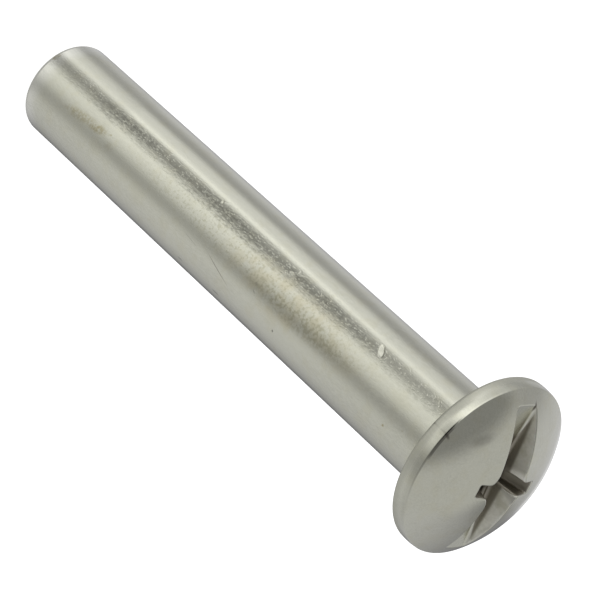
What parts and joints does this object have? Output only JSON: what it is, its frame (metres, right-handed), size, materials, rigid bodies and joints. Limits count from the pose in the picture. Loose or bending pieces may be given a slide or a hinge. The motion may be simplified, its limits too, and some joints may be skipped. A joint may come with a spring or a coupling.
{
  "type": "barrel nut",
  "caption": "Round barrel with a blind threaded hole in its open end and a domed truss head with a slot and cross drive; clamps sheets or panels against a machine screw.",
  "frame": {"origin": "centre of the flat ring at the open end, which the part stands on", "axes": "+Z along the barrel from the open end to the head, +X along the slot in the head"},
  "size_m": [0.014, 0.014, 0.0538],
  "materials": {
    "plated_steel": "bright nickel-plated steel, drawn along the barrel, with faint streaks and stains"
  },
  "bodies": {
    "root": {"barrel_nut": "plated_steel"}
  },
  "joints": []
}
